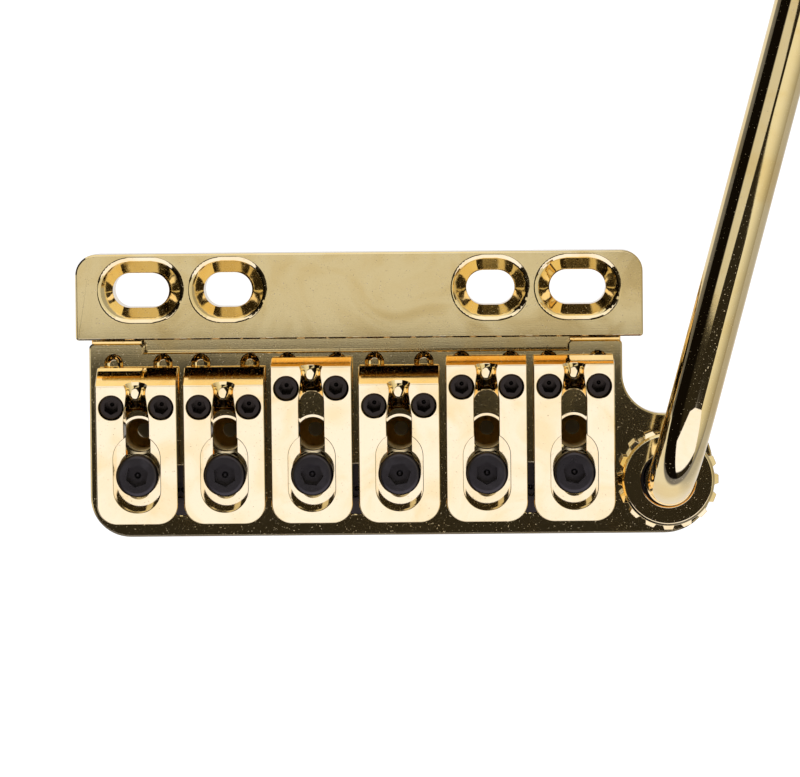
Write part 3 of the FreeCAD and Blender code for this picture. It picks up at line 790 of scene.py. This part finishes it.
def makeBar(top, foot):
    shape = saddleShape
    low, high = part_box("saddle_1")
    half = (high.x - low.x) / 2
    height = shape["height"]
    side = [(0, 0), (foot, 0), (top, height), (0, height)]
    bar = closedMesh("saddleBar", [[(x, along, up) for along, up in side] for x in (-half, half)])
    work = bmesh.new()
    work.from_mesh(bar.data)
    rear = [edge for edge in work.edges if all(vert.co.y < nearly for vert in edge.verts)
            and abs(edge.verts[0].co.z - edge.verts[1].co.z) > height / 2]
    bmesh.ops.bevel(work, geom=rear, offset=shape["corner"], segments=shape["cornerSegments"],
                    profile=0.5, affect="EDGES")
    work.to_mesh(bar.data)
    work.free()
    return soften(bar, shape["edge"], shape["edgeSegments"])


def makeSaddle(kind):
    shape = saddleShape
    top, foot = saddleLengths[kind]
    height = shape["height"]
    lip = lipSteps(shape["lip"])
    rounds = shape["rounds"]
    bar = makeBar(top, foot)
    for place in (shape["screwSpread"], -shape["screwSpread"]):
        middle = (place, top - shape["screwSetback"])
        cutAway(bar, lippedCutter(
            "screwHole", lambda out: roundOutline(middle, shape["screwHole"] + out, rounds),
            lambda y: -height, lambda y: height, lip))
    cutAway(bar, closedMesh("channel", channelRings(top)))
    tilt = math.radians(shape["tilt"])
    bar.data.transform(Matrix.Rotation(tilt, 4, "X"))
    wellSlope = math.tan(math.radians(shape["wellTilt"]))
    wellRadius = shape["wellRadius"]
    wellLow = shape["wellStart"] + wellRadius
    wellHigh = shape["wellEnd"] - wellRadius

    def topAt(y):
        return height / math.cos(tilt) + y * math.tan(tilt)

    cutAway(bar, lippedCutter(
        "well", lambda out: slotOutline(wellLow, wellHigh, wellRadius + out, rounds),
        lambda y: shape["wellFloor"] + (y - shape["wellEnd"]) * wellSlope, topAt, lip))
    throatRadius = shape["throatRadius"]
    throatLow = shape["throatStart"] + throatRadius
    throatHigh = top * math.cos(tilt) - shape["throatSetback"] - throatRadius
    cutAway(bar, lippedCutter(
        "throat", lambda out: slotOutline(throatLow, throatHigh, throatRadius + out, rounds),
        lambda y: -height, topAt, lip))
    return shade(bar)


def makeSaddles():
    rise = saddleShape["height"] * math.sin(math.radians(saddleShape["tilt"]))
    reaches = {index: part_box("saddle_%d" % index)[1].y for index in stringNumbers}
    middle = (min(reaches.values()) + max(reaches.values())) / 2
    patterns = {kind: makeSaddle(kind) for kind in saddleLengths}
    for index, reach in reaches.items():
        low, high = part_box("saddle_%d" % index)
        pattern = patterns["long" if reach > middle else "short"]
        piece = newPiece("saddle%dCut" % index, pattern.data.copy())
        piece.data.transform(Matrix.Translation(((low.x + high.x) / 2, low.y + rise, low.z)))
        stand(piece, "saddle_%d" % index)
    for pattern in patterns.values():
        bpy.data.objects.remove(pattern)


makeSaddles()
print("saddles made")


# Plate and block: string holes with a round rim, and a deep drilled bore below them

boreShape = {
    "along": -18.0 * mm, "hole": 2.09 * mm,
    "rim": [(0, -0.09 * mm), (0.02 * mm, -0.062 * mm), (0.32 * mm, -0.004 * mm), (0.36 * mm, 0.04 * mm)],
    "bore": 2.02 * mm, "boreDepth": 9.0 * mm, "borePoint": 1.2 * mm, "pointShare": 0.05,
    "overrun": 1 * mm, "rounds": 64,
    "plateEdge": 0.04 * mm, "plateRound": 0.25 * mm, "blockEdge": 0.2 * mm,
}


def makeStringHoles():
    shape = boreShape
    plate = polishedCopy("base_plate", shape["plateEdge"], shape["plateRound"])
    block = polishedCopy("tremolo_block", shape["blockEdge"])
    plateTop = joints["arm_swing"]["pos_m"][2]
    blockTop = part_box("tremolo_block")[1].z
    floor = blockTop - shape["boreDepth"]
    bore = [
        (shape["pointShare"] * shape["bore"], floor - shape["borePoint"]),
        (shape["bore"], floor),
        (shape["bore"], blockTop + shape["overrun"]),
    ]
    for index in stringNumbers:
        low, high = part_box("saddle_%d" % index)
        place = ((low.x + high.x) / 2, shape["along"])
        cutAway(plate, lippedCutter(
            "hole", lambda out: roundOutline(place, shape["hole"] + out, shape["rounds"]),
            lambda y: blockTop - shape["overrun"], lambda y: plateTop, shape["rim"]))
        cutAway(block, closedMesh("bore", [
            [(x, y, z) for x, y in roundOutline(place, radius, shape["rounds"])] for radius, z in bore]))
    stand(shade(plate), "base_plate")
    stand(shade(block), "tremolo_block")


makeStringHoles()
print("plate and block made")


# Floor, light tent and camera

def stageMesh(name, mesh, material):
    mesh.materials.append(material)
    piece = newPiece(name, mesh)
    return piece


floorLook = {
    "radius": 3.0, "rounds": 64, "drop": 0.2 * mm, "white": 0.93, "paint": (0.30, 0.30, 0.30),
    # The first four keys on the next line shape the painted shadow in the floor's glow under and beside the part
    "contact": 20 * mm, "contactSamples": 8, "contactShare": (0.32, 0.5), "underBlock": 0.4,
    # The keys from mirrored on set the floor's glow as seen in reflections, with painted shade by place
    "mirrored": 0.62, "mirroredFar": 0.25, "fade": (45 * mm, 110 * mm),
    "back": (-290 * mm, -190 * mm), "front": (0.0, 30 * mm), "left": (-65 * mm, -30 * mm),
}


def makeFloor():
    material, graph = materialGraph("whiteFloor")
    look = floorLook
    rays = graph.node("ShaderNodeLightPath", out="Is Camera Ray")
    mirrored = rays.beside("Is Glossy Ray").most(rays.beside("Is Transmission Ray"))
    spot = graph.node("ShaderNodeTexCoord", out="Object")
    across = graph.node("ShaderNodeSeparateXYZ", {}, {"Vector": spot}, "X")
    # Painted shadow: occlusion darkens the floor's glow under and beside the part, to the camera and in
    # reflections
    paintedShadowOcclusion = graph.node("ShaderNodeAmbientOcclusion", {"samples": look["contactSamples"]}, {
        "Distance": look["contact"]}, "AO")
    clear = graph.step(paintedShadowOcclusion, *look["contactShare"])  # painted shadow: the floor's glow is dark where the part stands close above
    under = look["underBlock"] + clear * (1 - look["underBlock"])
    # Painted shade in the floor's glow as seen in reflections: dimmer toward +x, dark far behind and at the front
    # left
    reflectedGlowShade = look["mirrored"] + graph.step(across, *look["fade"]) * (look["mirroredFar"] - look["mirrored"])
    reflectedGlowShade = reflectedGlowShade * graph.step(across.beside("Y"), *look["back"])
    ahead = graph.step(across.beside("Y"), *look["front"])
    reflectedGlowShade = reflectedGlowShade * (1 - ahead * (1 - graph.step(across, *look["left"])))
    white = (rays * clear * look["white"]).most(mirrored * reflectedGlowShade * under)
    glow = graph.node("ShaderNodeEmission", {}, {"Color": white})
    paint = graph.node("ShaderNodeBsdfDiffuse", {}, {"Color": color(look["paint"])})
    both = graph.node("ShaderNodeAddShader", {}, {0: glow, 1: paint})
    behind = graph.node("ShaderNodeNewGeometry", out="Backfacing")
    glass = graph.node("ShaderNodeBsdfTransparent")
    surface = graph.node("ShaderNodeMixShader", {}, {0: behind, 1: both, 2: glass})
    graph.node("ShaderNodeOutputMaterial", {}, {"Surface": surface})
    work = bmesh.new()
    bmesh.ops.create_circle(work, cap_ends=True, segments=look["rounds"], radius=look["radius"])
    bmesh.ops.translate(work, verts=work.verts, vec=(0, 0, boxBefore[0].z - look["drop"]))
    bmesh.ops.recalc_face_normals(work, faces=work.faces)
    mesh = bpy.data.meshes.new("floor")
    work.to_mesh(mesh)
    work.free()
    if mesh.polygons[0].normal.z < 0:
        mesh.flip_normals()
    stageMesh("floor", mesh, material)


# The tent is dark, with a notched grey card overhead, a card on the right and a softbox before and behind.
# Lists hold half planes (x, y, start) on a flat ceiling of height 1. Other spans are degrees from straight
# up, and backLow is a share of the radius.
tentLook = {
    "radius": 0.8,
    "rounds": (64, 32),
    "horizon": 0.001,
    "dark": (0.024, 0.021, 0.016),
    "darkLeft": (0.005, 0.004, 0.003),
    "leftStart": (-44.0, -30.0),
    "overhead": (0.66, 0.66, 0.66),
    "overheadSides": (-40.0, -34.0, 5.2, 6.0),
    "overheadBack": [(0.0, 1.0, 0.0398), (0.26, 1.0, 0.078), (-2.56, -6.0, 0.112)],
    "overheadEdge": 0.0014,
    "card": (0.84, 0.84, 0.80),
    "cardEnd": (0.26, 0.25, 0.23),
    "cardSides": [(1.0, 0.0, -0.28), (1.0, 2.9, -0.02)],
    "cardFade": (30.0, 110.0),
    "frontBox": (1.05, 1.10, 1.40),
    "frontSpan": (15.0, 19.0, 72.0, 80.0),
    "frontSides": (28.0, 34.0),
    "backBox": (1.08, 1.14, 1.60),
    "backRight": [(-1.0, -0.75, 0.615)],
    "backSides": [
        (0.0, -1.0, -0.165), (-0.33, -1.0, -0.098), (1.0, -1.1, -0.039), (1.0, 0.0, 0.95)],
    "backLow": (0.11, 0.16),
    "edge": 0.008,
}


def makeTent():
    material, graph = materialGraph("lightTent")
    place = graph.node("ShaderNodeTexCoord", out="Object")
    across = graph.node("ShaderNodeSeparateXYZ", {}, {"Vector": place}, "X")
    along = across.beside("Y")
    up = across.beside("Z")
    look = tentLook
    degrees = 180 / math.pi
    lean = along.math("ARCTAN2", up) * degrees
    side = across.math("ARCTAN2", up) * degrees
    flatX = across / up.most(look["horizon"])
    flatY = along / up.most(look["horizon"])

    def between(value, span):
        return graph.step(value, *span[:2]) * (1 - graph.step(value, *span[2:]))

    def within(sides, edge=look["edge"]):
        share = None
        for x, y, start in sides:
            part = graph.step(flatX * x + flatY * y + start, -edge, edge)
            share = part if share is None else share * part
        return share

    overhead = within(look["overheadBack"], look["overheadEdge"]) * between(side, look["overheadSides"])
    fade = graph.step(side, *look["cardFade"])
    card = graph.blend(fade, color(look["card"]), color(look["cardEnd"]))
    right = within(look["backRight"])
    carded = within(look["cardSides"]).most(1 - right)
    beside = graph.step(side.math("ABSOLUTE"), *look["frontSides"])
    front = between(lean, look["frontSpan"]) * (1 - beside)
    back = right * within(look["backSides"]) * graph.step(up / look["radius"], *look["backLow"])
    left = graph.step(side, *look["leftStart"])
    dark = graph.blend(left, color(look["darkLeft"]), color(look["dark"]))
    light = graph.blend(overhead, dark, color(look["overhead"]))
    light = graph.blend(carded, light, card)
    light = graph.blend(front, light, color(look["frontBox"]))
    light = graph.blend(back, light, color(look["backBox"]))
    glow = graph.node("ShaderNodeEmission", {}, {"Color": light})
    graph.node("ShaderNodeOutputMaterial", {}, {"Surface": glow})
    work = bmesh.new()
    around, upward = look["rounds"]
    bmesh.ops.create_uvsphere(work, u_segments=around, v_segments=upward, radius=look["radius"])
    mesh = bpy.data.meshes.new("tent")
    work.to_mesh(mesh)
    work.free()
    tent = stageMesh("tent", mesh, material)
    tent.visible_camera = False
    tent.visible_shadow = False


def makeWorld():
    world = bpy.data.worlds.new("studio")
    world.use_nodes = True
    world.node_tree.nodes.clear()
    graph = Graph(world.node_tree)
    sky = graph.node("ShaderNodeBackground", {}, {"Color": color((1, 1, 1)), "Strength": 1.0})
    graph.node("ShaderNodeOutputWorld", {}, {"Surface": sky})
    bpy.context.scene.world = world


cameraLook = {
    "place": (16.0 * mm, 19.1 * mm, 820 * mm),
    "target": (4.99 * mm, -12.43 * mm, 8 * mm),
    "lens": 294.8,
    "sensor": 36.0,
    "near": 0.01,
    "roll": 0.52,
}


def makeCamera():
    look = cameraLook
    data = bpy.data.cameras.new("camera")
    data.lens = look["lens"]
    data.sensor_width = look["sensor"]
    data.clip_start = look["near"]
    camera = bpy.data.objects.new("camera", data)
    bpy.context.scene.collection.objects.link(camera)
    place = Vector(look["place"])
    back = (place - Vector(look["target"])).normalized()
    right = Vector((0, 1, 0)).cross(back).normalized()
    axes = Matrix((right, back.cross(right), back)).transposed().to_4x4()
    roll = Matrix.Rotation(math.radians(-look["roll"]), 4, "Z")
    camera.matrix_world = Matrix.Translation(place) @ axes @ roll
    bpy.context.scene.camera = camera


makeFloor()
makeTent()
makeWorld()
makeCamera()
bpy.context.scene.view_settings.view_transform = "Standard"
print("stage set")
